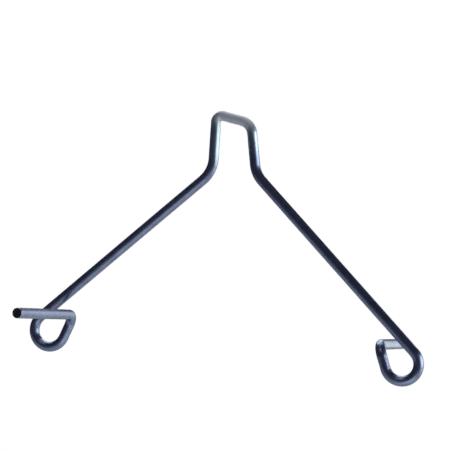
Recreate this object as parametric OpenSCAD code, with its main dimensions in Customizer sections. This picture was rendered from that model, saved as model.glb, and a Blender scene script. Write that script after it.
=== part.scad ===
// Frame grip: a hand tool that lifts a frame out of a beehive by its top bar.
// It is one round steel wire, bent cold. Seen from the front it is a flat-topped
// finger hoop, two shoulders, two straight arms that spread downwards, and an eye
// at the foot of each arm. Each eye closes upwards and ends in a straight peg,
// the left one towards the front and the right one towards the back.
// Each bend and each straight stretch of the wire is a sub-part, and neighbours
// meet face to face across the whole wire.
// +X is to the right, +Y to the back, +Z up. The origin is midway between the
// shoulders, in the plane of the arms, level with the tops of the pegs, where
// the underside of the lifted bar rests.

/* [Wire] */
// Diameter of the round wire
wire_d = 4; // [3:0.1:5]
// Width of the chamfer around each cropped end of the wire
end_chamfer = 0.3; // [0.1:0.05:0.6]

/* [Hoop] */
// Height of the left top corner of the hoop above the shoulders
hoop_h_left = 22.7; // [20:0.1:40]
// Height of the right top corner of the hoop above the shoulders
hoop_h_right = 19.7; // [15:0.1:40]
// Left top corner of the hoop, out from the middle
corner_x_left = 9.5; // [7:0.1:15]
// Right top corner of the hoop, out from the middle
corner_x_right = 5.2; // [5:0.1:15]
// Bend radius of the left top corner, at the middle of the wire
corner_r_left = 2.5; // [2.1:0.1:4]
// Bend radius of the right top corner, at the middle of the wire
corner_r_right = 5.9; // [2.1:0.1:6]

/* [Arms] */
// Height of the shoulder corners above the middle of the pegs
shoulder_h = 61.1; // [55:0.1:90]
// Shoulder corners, out from the middle
shoulder_x = 8.9; // [8:0.1:14]
// Bend radius of the shoulders, at the middle of the wire
shoulder_r = 11.6; // [6:0.1:16]
// Angle between each arm and straight down
arm_angle = 47.2; // [35:0.1:55]

/* [Eyes] */
// Bend radius of the left eye, at the middle of the wire
eye_r_left = 6.8; // [5:0.1:10]
// Bend radius of the right eye, at the middle of the wire
eye_r_right = 6.4; // [5:0.1:10]
// Angle that each eye turns through before its straight closing stretch
eye_turn = 206; // [195:1:215]
// Length from the end of the left eye's bend to the corner of its peg
eye_close_left = 10.2; // [8:0.1:14]
// Length from the end of the right eye's bend to the corner of its peg
eye_close_right = 9.3; // [8:0.1:14]

/* [Pegs] */
// Length of each peg from its corner to its cropped end
peg_len = 51; // [30:1:60]
// Bend radius where the eye turns into the peg, at the middle of the wire
peg_bend_r = 5; // [2.6:0.1:6]

/* [Hidden] */
$fn = 64;

wire_r = wire_d / 2;
wire_colour = "#5b6475";

// A side is the sign of its X.
left = -1;
right = 1;

function of_side(side, on_left, on_right) = side == left ? on_left : on_right;

// Corners of the wire's middle line, before they are rounded.
function shoulder_corner(side) = [side * shoulder_x, 0, shoulder_h - wire_r];
function hoop_corner_x(side) = side * of_side(side, corner_x_left, corner_x_right);
function hoop_corner_h(side) = of_side(side, hoop_h_left, hoop_h_right);
function top_corner(side) =
    [hoop_corner_x(side), 0, shoulder_h - wire_r + hoop_corner_h(side)];

// Directions along the wire, from the hoop's top bar out to the pegs.
function unit(v) = v / norm(v);
function top_bar_way(side) = unit(top_corner(side) - top_corner(-side));
function hoop_side_way(side) = unit(shoulder_corner(side) - top_corner(side));
function arm_way(side) = [side * sin(arm_angle), 0, -cos(arm_angle)];
function peg_way(side) = [0, side, 0];

// Square to the arm, from the arm towards the middle of its eye.
function eye_inward(side) = [-side * cos(arm_angle), 0, -sin(arm_angle)];
function eye_close_way(side) =
    eye_inward(side) * sin(eye_turn) + arm_way(side) * cos(eye_turn);

// From the foot of the arm to the peg's corner, round the eye.
function eye_r(side) = of_side(side, eye_r_left, eye_r_right);
function eye_chord(side) =
    eye_r(side) * ((1 - cos(eye_turn)) * eye_inward(side) + sin(eye_turn) * arm_way(side));
function eye_close(side) = of_side(side, eye_close_left, eye_close_right);
function eye_reach(side) = eye_chord(side) + eye_close(side) * eye_close_way(side);

// The arm's length brings the middle of the peg to wire_r under the origin.
function arm_foot_z(side) = -wire_r - eye_reach(side).z;
function arm_len(side) = (shoulder_corner(side).z - arm_foot_z(side)) / cos(arm_angle);
function arm_foot(side) = shoulder_corner(side) + arm_len(side) * arm_way(side);
function peg_corner(side) = arm_foot(side) + eye_reach(side);

// A corner of the wire rounded to radius r, where way_in turns into way_out.
function turn_of(way_in, way_out) = acos(way_in * way_out);
function setback(way_in, way_out, r) = r * tan(turn_of(way_in, way_out) / 2);

function corner_r(side) = of_side(side, corner_r_left, corner_r_right);
function corner_setback(side) =
    setback(top_bar_way(side), hoop_side_way(side), corner_r(side));
function shoulder_setback(side) =
    setback(hoop_side_way(side), arm_way(side), shoulder_r);
function peg_setback(side) =
    setback(eye_close_way(side), peg_way(side), peg_bend_r);

// A straight stretch of wire from one point to another.
module straight(from, to) {
    way = unit(to - from);
    color(wire_colour)
    translate(from)
    rotate([0, acos(way.z), atan2(way.y, way.x)])
    cylinder(h = norm(to - from), d = wire_d);
}

// A bend about a centre: it starts on the side that start points to, heading along way.
module bend(centre, start, way, r, turn) {
    across = cross(start, way);
    color(wire_colour)
    multmatrix([
        [start.x, way.x, across.x, centre.x],
        [start.y, way.y, across.y, centre.y],
        [start.z, way.z, across.z, centre.z],
    ])
    rotate_extrude(angle = turn)
    translate([r, 0])
    circle(d = wire_d);
}

// The bend that rounds one corner of the wire.
module corner_bend(corner, way_in, way_out, r) {
    inward = unit(way_out - (way_in * way_out) * way_in);
    start = corner - setback(way_in, way_out, r) * way_in;
    bend(start + r * inward, -inward, way_in, r, turn_of(way_in, way_out));
}

// Flat top of the finger hoop, where the tool hangs from the hand.
module hoop_top_bar() {
    straight(
        top_corner(left) - corner_setback(left) * top_bar_way(left),
        top_corner(right) - corner_setback(right) * top_bar_way(right)
    );
}

module hoop_corner(side) {
    corner_bend(top_corner(side), top_bar_way(side), hoop_side_way(side), corner_r(side));
}

module hoop_side(side) {
    straight(
        top_corner(side) + corner_setback(side) * hoop_side_way(side),
        shoulder_corner(side) - shoulder_setback(side) * hoop_side_way(side)
    );
}

// Easy bend from the hoop's side out into the arm.
module shoulder(side) {
    corner_bend(shoulder_corner(side), hoop_side_way(side), arm_way(side), shoulder_r);
}

module arm(side) {
    straight(
        shoulder_corner(side) + shoulder_setback(side) * arm_way(side),
        arm_foot(side)
    );
}

// More than half a turn, back up towards the inside of the arm.
module eye(side) {
    inward = eye_inward(side);
    centre = arm_foot(side) + eye_r(side) * inward;
    bend(centre, -inward, arm_way(side), eye_r(side), eye_turn);
}

// Straight stretch that closes the eye, up to the peg's bend.
module eye_closing(side) {
    straight(
        arm_foot(side) + eye_chord(side),
        peg_corner(side) - peg_setback(side) * eye_close_way(side)
    );
}

module peg_bend(side) {
    corner_bend(peg_corner(side), eye_close_way(side), peg_way(side), peg_bend_r);
}

// Straight round peg that passes under the lifted bar, with its cropped end chamfered.
module peg(side) {
    way = peg_way(side);
    length = peg_len - peg_setback(side);
    color(wire_colour)
    translate(peg_corner(side) + peg_setback(side) * way)
    rotate([-side * 90, 0, 0])
    rotate_extrude()
    polygon([
        [0, 0],
        [wire_r, 0],
        [wire_r, length - end_chamfer],
        [wire_r - end_chamfer, length],
        [0, length],
    ]);
}

hoop_top_bar();
hoop_corner(left);  // hoop_corner_left
hoop_corner(right);  // hoop_corner_right
hoop_side(left);  // hoop_side_left
hoop_side(right);  // hoop_side_right
shoulder(left);  // shoulder_left
shoulder(right);  // shoulder_right
arm(left);  // arm_left
arm(right);  // arm_right
eye(left);  // eye_left
eye(right);  // eye_right
eye_closing(left);  // eye_close_left
eye_closing(right);  // eye_close_right
peg_bend(left);  // peg_bend_left
peg_bend(right);  // peg_bend_right
peg(left);  // peg_left
peg(right);  // peg_right
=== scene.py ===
import math

import bmesh
import bpy
from mathutils import Matrix, Vector


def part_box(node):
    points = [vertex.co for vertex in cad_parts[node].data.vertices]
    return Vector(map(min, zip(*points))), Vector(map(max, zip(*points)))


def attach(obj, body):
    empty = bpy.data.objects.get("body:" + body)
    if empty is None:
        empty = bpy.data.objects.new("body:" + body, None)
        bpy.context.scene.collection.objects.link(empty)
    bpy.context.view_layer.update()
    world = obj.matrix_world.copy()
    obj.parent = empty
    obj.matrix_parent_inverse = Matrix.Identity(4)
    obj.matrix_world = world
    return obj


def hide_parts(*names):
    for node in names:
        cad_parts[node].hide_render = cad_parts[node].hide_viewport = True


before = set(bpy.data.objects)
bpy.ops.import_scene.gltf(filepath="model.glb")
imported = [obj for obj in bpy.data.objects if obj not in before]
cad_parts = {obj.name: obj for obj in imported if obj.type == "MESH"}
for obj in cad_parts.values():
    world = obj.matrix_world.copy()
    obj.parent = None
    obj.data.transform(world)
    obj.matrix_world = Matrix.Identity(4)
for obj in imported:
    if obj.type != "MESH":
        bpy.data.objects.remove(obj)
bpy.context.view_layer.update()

# Frame grip: one round steel wire, bent cold. All lengths here are in millimetres
# unless a name says metres, and every mesh is built in metres.
mm = 0.001


cameraView = {
    "place": (188.1, -553.1, 13.7),
    "heading": -18.96,      # degrees from +Y towards +X
    "rise": 2.43,           # degrees above the horizon
    "roll": 5.08,           # leaning to the left
    "focalLength": 120,
    "sensorWidth": 36,
    "nearClip": 10,
}


def makeCamera(settings):
    data = bpy.data.cameras.new("camera")
    data.lens = settings["focalLength"]
    data.sensor_width = settings["sensorWidth"]
    data.clip_start = settings["nearClip"] * mm
    camera = bpy.data.objects.new("camera", data)
    turn = Matrix.Rotation(math.radians(-settings["heading"]), 4, "Z")
    tilt = Matrix.Rotation(math.radians(90 + settings["rise"]), 4, "X")
    roll = Matrix.Rotation(math.radians(settings["roll"]), 4, "Z")
    place = Matrix.Translation(Vector(settings["place"]) * mm)
    camera.matrix_world = place @ turn @ tilt @ roll
    bpy.context.scene.collection.objects.link(camera)
    bpy.context.scene.camera = camera


makeCamera(cameraView)
print("camera placed")


wireSize = {
    "diameter": 4,
    "around": 48,           # sides of the round section
    "bendStep": 2.5,        # degrees between rings in a bend
    "straightStep": 1.5,    # millimetres between rings in a straight
    "unrolledScale": 20,    # UV units for each metre along the wire
}

hoopSize = {
    "cornerOut": {"left": 9.5, "right": 5.2},       # top corners, out from the middle
    "cornerUp": {"left": 22.7, "right": 19.7},      # top corners, above the shoulders
    "cornerRadius": {"left": 2.5, "right": 5.9},
}

armSize = {
    "shoulderOut": 8.9,
    "shoulderUp": 61.1,     # above the middle of the pegs
    "shoulderRadius": 11.6,
    "angle": 47.2,          # degrees from straight down
}

eyeSize = {
    "radius": {"left": 6.8, "right": 6.4},
    "turn": 206,            # degrees
    "closing": {"left": 10.2, "right": 9.3},
}

pegSize = {
    "length": 51,           # from its corner to the cropped end
    "bendRadius": 5,
    "chamfer": 0.3,
}

wireRadius = wireSize["diameter"] / 2


def heading(start, end):
    # Angle in degrees of the way from one point (x, z) to another
    return math.degrees(math.atan2(end[1] - start[1], end[0] - start[0]))


def turnBetween(headingIn, headingOut):
    return (headingOut - headingIn + 180) % 360 - 180


def setback(turn, radius):
    # From the corner of a bend to where its arc starts
    return radius * math.tan(math.radians(abs(turn)) / 2)


def armLength(side):
    # Long enough to bring the eye's far end level with the pegs
    angle = math.radians(armSize["angle"])
    turn = math.radians(eyeSize["turn"])
    radius = eyeSize["radius"][side]
    closing = eyeSize["closing"][side]
    inward = -math.sin(angle)
    down = -math.cos(angle)
    reach = radius * ((1 - math.cos(turn)) * inward + math.sin(turn) * down)
    reach += closing * (inward * math.sin(turn) + down * math.cos(turn))
    return (armSize["shoulderUp"] + reach) / math.cos(angle)


def wireRoute():
    # The stretches from the left cropped end to the right one. A straight has a name,
    # its kind and a length. A bend has a name, its kind, a radius, a turn in degrees and
    # the local axis that it turns about.
    shoulderZ = armSize["shoulderUp"] - wireRadius
    corner = {}
    shoulder = {}
    for side, sign in (("left", -1), ("right", 1)):
        up = shoulderZ + hoopSize["cornerUp"][side]
        corner[side] = (sign * hoopSize["cornerOut"][side], up)
        shoulder[side] = (sign * armSize["shoulderOut"], shoulderZ)

    armUp = 90 - armSize["angle"]
    sideUp = heading(shoulder["left"], corner["left"])
    across = heading(corner["left"], corner["right"])
    sideDown = heading(corner["right"], shoulder["right"])
    shoulderTurn = {
        "left": turnBetween(armUp, sideUp),
        "right": turnBetween(sideDown, -armUp),
    }
    cornerTurn = {
        "left": turnBetween(sideUp, across),
        "right": turnBetween(across, sideDown),
    }
    shoulderCut = {}
    cornerCut = {}
    for side in ("left", "right"):
        shoulderCut[side] = setback(shoulderTurn[side], armSize["shoulderRadius"])
        cornerCut[side] = setback(cornerTurn[side], hoopSize["cornerRadius"][side])

    def sidePieces(side):
        # A peg's bend is a right angle, so it takes its radius off both straights
        pegTurn = 90 if side == "left" else -90
        pegStraight = pegSize["length"] - pegSize["bendRadius"]
        closing = eyeSize["closing"][side] - pegSize["bendRadius"]
        armStraight = armLength(side) - shoulderCut[side]
        hoopSide = math.dist(corner[side], shoulder[side]) - shoulderCut[side] - cornerCut[side]
        return [
            (f"peg_{side}", "straight", pegStraight),
            (f"peg_bend_{side}", "bend", pegSize["bendRadius"], pegTurn, "Y"),
            (f"eye_close_{side}", "straight", closing),
            (f"eye_{side}", "bend", eyeSize["radius"][side], -eyeSize["turn"], "X"),
            (f"arm_{side}", "straight", armStraight),
            (f"shoulder_{side}", "bend", armSize["shoulderRadius"], shoulderTurn[side], "X"),
            (f"hoop_side_{side}", "straight", hoopSide),
            (f"hoop_corner_{side}", "bend", hoopSize["cornerRadius"][side], cornerTurn[side], "X"),
        ]

    topLength = math.dist(corner["left"], corner["right"])
    topBar = ("hoop_top_bar", "straight", topLength - cornerCut["left"] - cornerCut["right"])
    return sidePieces("left") + [topBar] + sidePieces("right")[::-1]


def startOfRoute():
    # At the left cropped end, looking back along the peg. Local Z runs along the wire,
    # and the bends turn about local X in the plane of the arms, or local Y at the pegs.
    low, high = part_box("peg_left")
    middle = (low + high) / 2
    closing = math.radians(90 - armSize["angle"] + eyeSize["turn"])
    acrossX = Vector((math.cos(closing), 0, math.sin(closing)))
    way = Vector((0, 1, 0))
    turned = Matrix((acrossX, way.cross(acrossX), way)).transposed().to_4x4()
    return Matrix.Translation(Vector((middle.x, low.y, middle.z)) / mm) @ turned


def bendMatrix(radius, angle, axis):
    # The move from the start of a bend to the point angle degrees round it
    side = math.copysign(radius, angle)
    centre = Vector((0, -side, 0)) if axis == "X" else Vector((side, 0, 0))
    turn = Matrix.Rotation(math.radians(angle), 4, axis)
    return Matrix.Translation(centre) @ turn @ Matrix.Translation(-centre)


bendWork = {
    "flattening": 0.04,     # share of the width lost where the radius is one wire radius
    "spread": 0.5,          # how much of that goes sideways instead
    "jawMark": 0.07,        # depth of the flats that the bender's jaws leave
    "jawLength": 2.4,       # from the middle of a mark to where it fades out
    "jawPlace": 1.4,        # from the bend to the middle of a mark
    "jawFace": 0.8,         # share of the radius beyond which a jaw touches
    "tightRadius": 7,       # bends tighter than this were made in jaws
}

cropCut = {
    "rimInset": 0.3,
    "rimSteps": 3,
    "dish": 0.06,
    "tear": 0.16,           # how far the torn half of the cut stands back
    "tearSlope": 0.3,       # width of the slope between the two halves
}


def straightTube(length, step):
    # An open tube of wire along local Z, from the origin
    bm = bmesh.new()
    bmesh.ops.create_circle(bm, cap_ends=False, segments=wireSize["around"], radius=wireRadius)
    rings = max(2, round(length / step))
    bmesh.ops.spin(
        bm, geom=bm.verts[:] + bm.edges[:], angle=0, steps=rings, axis=(0, 0, 1),
        cent=(0, 0, 0), dvec=(0, 0, length / rings), use_merge=False, use_duplicate=False,
    )
    return bm


def closeEnds(bm):
    # Flat end faces in the second material slot, with a sharp rim
    openEdges = [e for e in bm.edges if e.is_boundary]
    ends = bmesh.ops.holes_fill(bm, edges=openEdges, sides=0)["faces"]
    bmesh.ops.recalc_face_normals(bm, faces=bm.faces[:])
    for face in ends:
        face.material_index = 1
        for edge in face.edges:
            edge.smooth = False


def endFace(bm, outward):
    # The whole round face at one end: outward is 1 at the far end and -1 at the start
    whole = [f for f in bm.faces if len(f.verts) == wireSize["around"]]
    return max(whole, key=lambda f: f.calc_center_median().z * outward)


def cropEnd(bm, outward):
    # A cropped end: a chamfered rim round a dished cut, half of it torn back
    end = endFace(bm, outward)
    rim = list(end.edges)
    bmesh.ops.bevel(
        bm, geom=rim, offset=pegSize["chamfer"], offset_type="OFFSET", segments=cropCut["rimSteps"],
        profile=0.5, affect="EDGES", material=-1,
    )
    insets = ((0, cropCut["rimInset"]), (-cropCut["dish"], 2 * cropCut["rimInset"]))
    for depth, thickness in insets:
        bmesh.ops.inset_region(
            bm, faces=[endFace(bm, outward)], thickness=thickness, depth=depth,
            use_even_offset=True,
        )
    inner = endFace(bm, outward)
    for vert in inner.verts:
        slope = math.tanh(vert.co.y / cropCut["tearSlope"])
        vert.co.z -= outward * cropCut["tear"] * max(0, slope)
    bmesh.ops.poke(bm, faces=[inner])


def pressJaws(bm, marks):
    # Shallow flats on both sides of a straight, beside a tight bend
    jawFace = bendWork["jawFace"]
    for vert in bm.verts:
        for atZ, axis in marks:
            near = abs(vert.co.z - atZ) / bendWork["jawLength"]
            facing = abs(vert.co.x if axis == "X" else vert.co.y) / wireRadius
            if near < 1 and facing > jawFace:
                depth = bendWork["jawMark"] * (facing - jawFace) / (1 - jawFace)
                shrink = 1 - depth * (1 - near * near) ** 2 / wireRadius
                vert.co.x *= shrink
                vert.co.y *= shrink


def bendTube(bm, length, radius, angle, axis):
    # Wraps a straight tube round its bend, flattened a little across it
    loss = bendWork["flattening"] * wireRadius / radius
    for vert in bm.verts:
        share = vert.co.z / length
        press = loss * math.sin(math.pi * share) ** 2
        narrow = 1 - press
        wide = 1 + press * bendWork["spread"]
        across = Vector((
            vert.co.x * (wide if axis == "X" else narrow),
            vert.co.y * (narrow if axis == "X" else wide),
            0,
        ))
        if share:
            across = bendMatrix(radius, angle * share, axis) @ across
        vert.co = across


# Painted light along the wire, in millimetres: where its middle lies past the middle of the
# hoop's top, how far it is even on each side, and how far it takes to fade out
hoopPaintedLight = {
    # painted light: a paler, duller patch on the hoop's top
    "paintedTopLight": (0.5, 5, 7),
    # painted highlight round the hoop
    "paintedHoopHighlight": (-3, 16, 9),
}


def wireCoordinates(bm, along, hoopAlong):
    # Where each point lay in the straight wire, in metres, for the finish to follow
    place = bm.verts.layers.float_vector.new("wirePlace")
    for vert in bm.verts:
        vert[place] = (vert.co + Vector((0, 0, along))) * mm
    # masks for the painted highlight round the hoop and the painted light on its top
    for lightPatch, (offset, even, fade) in hoopPaintedLight.items():
        layer = bm.verts.layers.float.new(lightPatch)
        for vert in bm.verts:
            away = abs(along + vert.co.z - hoopAlong - offset) - even
            share = min(1, max(0, 1 - away / fade))
            vert[layer] = share * share * (3 - 2 * share)
    unrolled = bm.loops.layers.uv.new("wireUnrolled")
    for face in bm.faces:
        middle = face.calc_center_median()
        faceTurn = math.atan2(middle.y, middle.x) / math.tau
        for loop in face.loops:
            co = loop.vert.co
            turn = math.atan2(co.y, co.x) / math.tau
            turn -= round(turn - faceTurn)
            loop[unrolled].uv = ((along + co.z) * mm * wireSize["unrolledScale"], turn)


def stretchLength(stretch):
    if stretch[1] == "straight":
        return stretch[2]
    return stretch[2] * math.radians(abs(stretch[3]))


def makeStretch(stretch, place, along, hoopAlong, jawMarks, materials):
    # One named stretch of the wire. Returns where the next one starts.
    name, kind = stretch[0], stretch[1]
    length = stretchLength(stretch)
    if kind == "straight":
        onward = Matrix.Translation((0, 0, length))
        bm = straightTube(length, wireSize["straightStep"])
    else:
        radius, angle, axis = stretch[2:]
        onward = bendMatrix(radius, angle, axis)
        bm = straightTube(length, radius * math.radians(wireSize["bendStep"]))

    closeEnds(bm)
    if name == "peg_left":
        cropEnd(bm, -1)
    if name == "peg_right":
        cropEnd(bm, 1)
    wireCoordinates(bm, along, hoopAlong)
    if kind == "straight":
        pressJaws(bm, jawMarks)
    else:
        bendTube(bm, length, radius, angle, axis)
    bmesh.ops.transform(bm, matrix=Matrix.Scale(mm, 4) @ place, verts=bm.verts[:])
    bmesh.ops.recalc_face_normals(bm, faces=bm.faces[:])

    mesh = bpy.data.meshes.new(name)
    for face in bm.faces:
        face.smooth = True
    bm.to_mesh(mesh)
    bm.free()
    for material in materials:
        mesh.materials.append(material)
    piece = bpy.data.objects.new(f"{name}Wire", mesh)
    bpy.context.scene.collection.objects.link(piece)
    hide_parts(name)
    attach(piece, "root")
    return place @ onward


def node(tree, kind, **values):
    # A new node, with each value set on the socket or the setting of that name
    made = tree.nodes.new(kind)
    for key, value in values.items():
        if key in made.inputs:
            made.inputs[key].default_value = value
        else:
            setattr(made, key, value)
    return made


steelFinish = {
    "colour": (0.27, 0.315, 0.475),     # blue-grey of drawn steel
    "darkColour": (0.175, 0.185, 0.3),
    "toneFrom": 0.7,                    # noise that gives the dark colour
    "toneTo": 1.25,                     # noise that gives the blue-grey
    "hoopHighlightColour": (0.42, 0.5, 0.58),     # painted highlight: brighter colour round the hoop
    # painted light on the hoop's top: paler colour, rougher and less metallic
    "topLightColour": (0.67, 0.665, 0.77),
    "topRoughness": 0.48,
    "topMetal": 0.3,                 # less metal on top, so its painted light reads matte
    "roughness": 0.32,
    "roughnessSpread": 0.05,
    "anisotropy": 0.6,
    "blurTurn": 0.25,                   # a quarter turn: blurred across the die lines
    "lineScale": 2600,                  # die lines in a metre, round the wire
    "lineStretch": 0.012,               # how slowly a line changes along the wire
    "lineBump": 0.15,
    "lineHeight": 0.03,
    "streakScale": 520,
    "mottleScale": 260,
    "pitBump": 0.08,
    "pitHeight": 0.1,
}


def drawnSteel(finish):
    # Satin blue-grey drawn wire: die lines, faint mottling, a painted highlight round the hoop and
    # painted light on its top
    material = bpy.data.materials.new("drawnSteel")
    material.use_nodes = True
    tree = material.node_tree
    links = tree.links
    shader = tree.nodes["Principled BSDF"]
    shader.inputs["Anisotropic"].default_value = finish["anisotropy"]
    shader.inputs["Anisotropic Rotation"].default_value = finish["blurTurn"]

    wirePlace = node(tree, "ShaderNodeAttribute", attribute_name="wirePlace")
    stretched = node(tree, "ShaderNodeVectorMath", operation="MULTIPLY")
    stretched.inputs[1].default_value = (1, 1, finish["lineStretch"])
    links.new(wirePlace.outputs["Vector"], stretched.inputs[0])

    lines = node(tree, "ShaderNodeTexNoise", Scale=finish["lineScale"], Detail=4, Roughness=0.6)
    links.new(stretched.outputs["Vector"], lines.inputs["Vector"])
    streaks = node(tree, "ShaderNodeTexNoise", Scale=finish["streakScale"], Detail=2)
    links.new(stretched.outputs["Vector"], streaks.inputs["Vector"])
    mottle = node(tree, "ShaderNodeTexNoise", Scale=finish["mottleScale"], Detail=5, Roughness=0.62)
    links.new(wirePlace.outputs["Vector"], mottle.inputs["Vector"])

    tone = node(tree, "ShaderNodeMath", operation="ADD")
    links.new(streaks.outputs["Fac"], tone.inputs[0])
    links.new(mottle.outputs["Fac"], tone.inputs[1])
    toneRange = node(tree, "ShaderNodeMapRange")
    toneRange.inputs["From Min"].default_value = finish["toneFrom"]
    toneRange.inputs["From Max"].default_value = finish["toneTo"]
    links.new(tone.outputs["Value"], toneRange.inputs["Value"])
    colour = node(tree, "ShaderNodeMix", data_type="RGBA")
    colour.inputs["A"].default_value = (*finish["darkColour"], 1)
    colour.inputs["B"].default_value = (*finish["colour"], 1)
    links.new(toneRange.outputs["Result"], colour.inputs["Factor"])

    # painted highlight: brighter round the hoop; painted light: paler and duller on its top
    paintedHoopHighlight = node(tree, "ShaderNodeAttribute", attribute_name="paintedHoopHighlight")
    hoopHighlightColour = node(tree, "ShaderNodeMix", data_type="RGBA")
    hoopHighlightColour.inputs["B"].default_value = (*finish["hoopHighlightColour"], 1)
    links.new(paintedHoopHighlight.outputs["Fac"], hoopHighlightColour.inputs["Factor"])
    links.new(colour.outputs["Result"], hoopHighlightColour.inputs["A"])
    paintedTopLight = node(tree, "ShaderNodeAttribute", attribute_name="paintedTopLight")
    patchy = node(tree, "ShaderNodeMath", operation="ADD")      # about 1, since noise is about 0.5
    links.new(mottle.outputs["Fac"], patchy.inputs[0])
    patchy.inputs[1].default_value = 0.5
    # painted light on the hoop's top, patchy with the mottle
    topLightMask = node(tree, "ShaderNodeMath", operation="MULTIPLY")
    links.new(patchy.outputs["Value"], topLightMask.inputs[0])
    links.new(paintedTopLight.outputs["Fac"], topLightMask.inputs[1])
    topLightColour = node(tree, "ShaderNodeMix", data_type="RGBA")
    topLightColour.inputs["B"].default_value = (*finish["topLightColour"], 1)
    links.new(topLightMask.outputs["Value"], topLightColour.inputs["Factor"])
    links.new(hoopHighlightColour.outputs["Result"], topLightColour.inputs["A"])
    links.new(topLightColour.outputs["Result"], shader.inputs["Base Color"])

    roughRange = node(tree, "ShaderNodeMapRange")
    roughRange.inputs["To Min"].default_value = finish["roughness"] + finish["roughnessSpread"]
    roughRange.inputs["To Max"].default_value = finish["roughness"] - finish["roughnessSpread"]
    links.new(streaks.outputs["Fac"], roughRange.inputs["Value"])
    topRoughness = node(tree, "ShaderNodeMix", data_type="FLOAT")
    topRoughness.inputs["B"].default_value = finish["topRoughness"]
    links.new(topLightMask.outputs["Value"], topRoughness.inputs["Factor"])
    links.new(roughRange.outputs["Result"], topRoughness.inputs["A"])
    links.new(topRoughness.outputs["Result"], shader.inputs["Roughness"])
    metal = node(tree, "ShaderNodeMapRange")
    metal.inputs["To Min"].default_value = 1
    metal.inputs["To Max"].default_value = finish["topMetal"]
    links.new(topLightMask.outputs["Value"], metal.inputs["Value"])
    links.new(metal.outputs["Result"], shader.inputs["Metallic"])

    tangent = node(tree, "ShaderNodeTangent", direction_type="UV_MAP", uv_map="wireUnrolled")
    links.new(tangent.outputs["Tangent"], shader.inputs["Tangent"])
    ridges = node(tree, "ShaderNodeBump", Strength=finish["lineBump"], Distance=finish["lineHeight"] * mm)
    links.new(lines.outputs["Fac"], ridges.inputs["Height"])
    pits = node(tree, "ShaderNodeBump", Strength=finish["pitBump"], Distance=finish["pitHeight"] * mm)
    links.new(mottle.outputs["Fac"], pits.inputs["Height"])
    links.new(ridges.outputs["Normal"], pits.inputs["Normal"])
    links.new(pits.outputs["Normal"], shader.inputs["Normal"])
    return material


cutFinish = {
    "colour": (0.012, 0.013, 0.02),
    "brightest": 3,         # times the colour
    "metal": 0.6,
    "roughness": 0.55,
    "grainScale": 4500,
    "grainBump": 0.5,
    "grainHeight": 0.1,
}


def croppedSteel(finish):
    # Dark torn steel of a cropped end
    material = bpy.data.materials.new("croppedSteel")
    material.use_nodes = True
    tree = material.node_tree
    links = tree.links
    shader = tree.nodes["Principled BSDF"]
    shader.inputs["Metallic"].default_value = finish["metal"]
    shader.inputs["Roughness"].default_value = finish["roughness"]
    place = node(tree, "ShaderNodeTexCoord")
    grain = node(tree, "ShaderNodeTexNoise", Scale=finish["grainScale"], Detail=3)
    links.new(place.outputs["Object"], grain.inputs["Vector"])
    colour = node(tree, "ShaderNodeMix", data_type="RGBA")
    colour.inputs["A"].default_value = (*finish["colour"], 1)
    colour.inputs["B"].default_value = (*(finish["brightest"] * c for c in finish["colour"]), 1)
    links.new(grain.outputs["Fac"], colour.inputs["Factor"])
    links.new(colour.outputs["Result"], shader.inputs["Base Color"])
    torn = node(tree, "ShaderNodeBump", Strength=finish["grainBump"], Distance=finish["grainHeight"] * mm)
    links.new(grain.outputs["Fac"], torn.inputs["Height"])
    links.new(torn.outputs["Normal"], shader.inputs["Normal"])
    return material


def jawMarksOn(route, index):
    # The marks on a straight, beside each tight bend that it meets
    marks = []
    kind, length = route[index][1:3]
    if kind == "straight":
        jawPlace = bendWork["jawPlace"]
        for other, atZ in ((index - 1, jawPlace), (index + 1, length - jawPlace)):
            if 0 <= other < len(route) and route[other][2] < bendWork["tightRadius"]:
                marks.append((atZ, "Y" if route[other][4] == "X" else "X"))
    return marks


def boxDifference(name):
    # The most that a piece's box differs from its node's box, in millimetres
    low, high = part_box(name)
    points = bpy.data.objects[f"{name}Wire"].data.vertices
    worst = 0
    for axis in range(3):
        places = [point.co[axis] for point in points]
        worst = max(worst, abs(min(places) - low[axis]), abs(max(places) - high[axis]))
    return worst / mm


def bendWholeWire():
    materials = [drawnSteel(steelFinish), croppedSteel(cutFinish)]
    print("steel finishes mixed")
    route = wireRoute()
    place = startOfRoute()
    topBar = [stretch[0] for stretch in route].index("hoop_top_bar")
    hoopAlong = sum(stretchLength(stretch) for stretch in route[:topBar])
    hoopAlong += stretchLength(route[topBar]) / 2
    along = 0
    worst = 0
    for index, stretch in enumerate(route):
        jawMarks = jawMarksOn(route, index)
        place = makeStretch(stretch, place, along, hoopAlong, jawMarks, materials)
        along += stretchLength(stretch)
        worst = max(worst, boxDifference(stretch[0]))
    print(f"wire bent, {along:.1f} mm long, worst box difference {worst:.2f} mm")


bendWholeWire()


studio = {
    "middle": (0, 0, 33),           # what the lights point at
    "floorBelow": 300,              # under the middle
    "floorSize": 3100,
    "floorColour": (0.8, 0.8, 0.8),
    "floorRoughness": 0.9,
    "floorGlow": 1,                 # how far the floor is lifted to white where it is seen
    "backdropColour": (1, 1, 1),    # behind the wire, where it is seen
    "roomColour": (0.042, 0.047, 0.07),     # what the wire reflects between the lights
}

# Each light: turn to the right of the camera and rise, in degrees, then distance, width
# and height in millimetres, and brightness. They share one tint.
lights = {
    "rightSoftbox": (78, 9, 800, 900, 480, 3.8),
    "rightLowCard": (80, -16, 800, 700, 160, 2.2),
    "backRightCard": (142, 5, 1200, 500, 1100, 1.35),
    "backUpperCard": (190, 42, 1100, 1100, 350, 2.8),
    "overhead": (195, 72, 1000, 900, 800, 1.5),
    "lowFrontCard": (10, -45, 340, 190, 190, 0.8),
    "frontTopCard": (-30, 50, 900, 350, 300, 1),
}
lightTint = (0.97, 1.05, 1)


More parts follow.
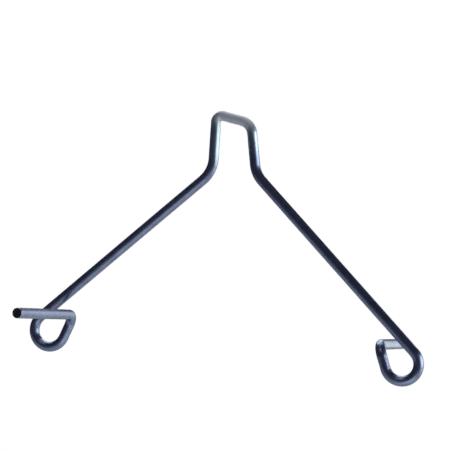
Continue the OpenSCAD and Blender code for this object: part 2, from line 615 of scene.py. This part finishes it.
def placeLight(name, turn, rise, distance, width, height, brightness):
    data = bpy.data.lights.new(name, "AREA")
    data.shape = "RECTANGLE"
    data.size = width * mm
    data.size_y = height * mm
    data.energy = brightness * math.pi * data.size * data.size_y    # watts for that radiance
    data.color = lightTint
    light = bpy.data.objects.new(name, data)
    light.visible_camera = False
    bearing = math.radians(turn - 90 - cameraView["heading"])
    level = Vector((math.cos(bearing), math.sin(bearing), 0))
    way = level * math.cos(math.radians(rise)) + Vector((0, 0, math.sin(math.radians(rise))))
    light.location = (Vector(studio["middle"]) + way * distance) * mm
    light.rotation_euler = way.to_track_quat("Z", "Y").to_euler()
    bpy.context.scene.collection.objects.link(light)


def makeStudio():
    world = bpy.data.worlds.new("studio")
    bpy.context.scene.world = world
    world.use_nodes = True
    tree = world.node_tree
    room = tree.nodes["Background"]
    room.inputs["Color"].default_value = (*studio["roomColour"], 1)
    backdrop = node(tree, "ShaderNodeBackground")
    backdrop.inputs["Color"].default_value = (*studio["backdropColour"], 1)
    paths = node(tree, "ShaderNodeLightPath")
    choose = node(tree, "ShaderNodeMixShader")
    tree.links.new(paths.outputs["Is Camera Ray"], choose.inputs["Fac"])
    tree.links.new(room.outputs["Background"], choose.inputs[1])
    tree.links.new(backdrop.outputs["Background"], choose.inputs[2])
    tree.links.new(choose.outputs["Shader"], tree.nodes["World Output"].inputs["Surface"])

    bm = bmesh.new()
    bmesh.ops.create_grid(bm, x_segments=1, y_segments=1, size=studio["floorSize"] * mm / 2)
    drop = Vector((0, 0, studio["middle"][2] - studio["floorBelow"])) * mm
    bmesh.ops.translate(bm, vec=drop, verts=bm.verts[:])
    mesh = bpy.data.meshes.new("floor")
    bm.to_mesh(mesh)
    bm.free()
    floor = bpy.data.objects.new("floor", mesh)
    bpy.context.scene.collection.objects.link(floor)
    pale = bpy.data.materials.new("paleFloor")
    pale.use_nodes = True
    tree = pale.node_tree
    shader = tree.nodes["Principled BSDF"]
    shader.inputs["Base Color"].default_value = (*studio["floorColour"], 1)
    shader.inputs["Roughness"].default_value = studio["floorRoughness"]
    shader.inputs["Emission Color"].default_value = (*studio["backdropColour"], 1)
    # white where it is seen, without lighting the wire from below
    paths = node(tree, "ShaderNodeLightPath")
    glow = node(tree, "ShaderNodeMath", operation="MULTIPLY")
    glow.inputs[1].default_value = studio["floorGlow"]
    tree.links.new(paths.outputs["Is Camera Ray"], glow.inputs[0])
    tree.links.new(glow.outputs["Value"], shader.inputs["Emission Strength"])
    mesh.materials.append(pale)
    for name, settings in lights.items():
        placeLight(name, *settings)
    bpy.context.scene.view_settings.view_transform = "Standard"


makeStudio()
print("studio lit")
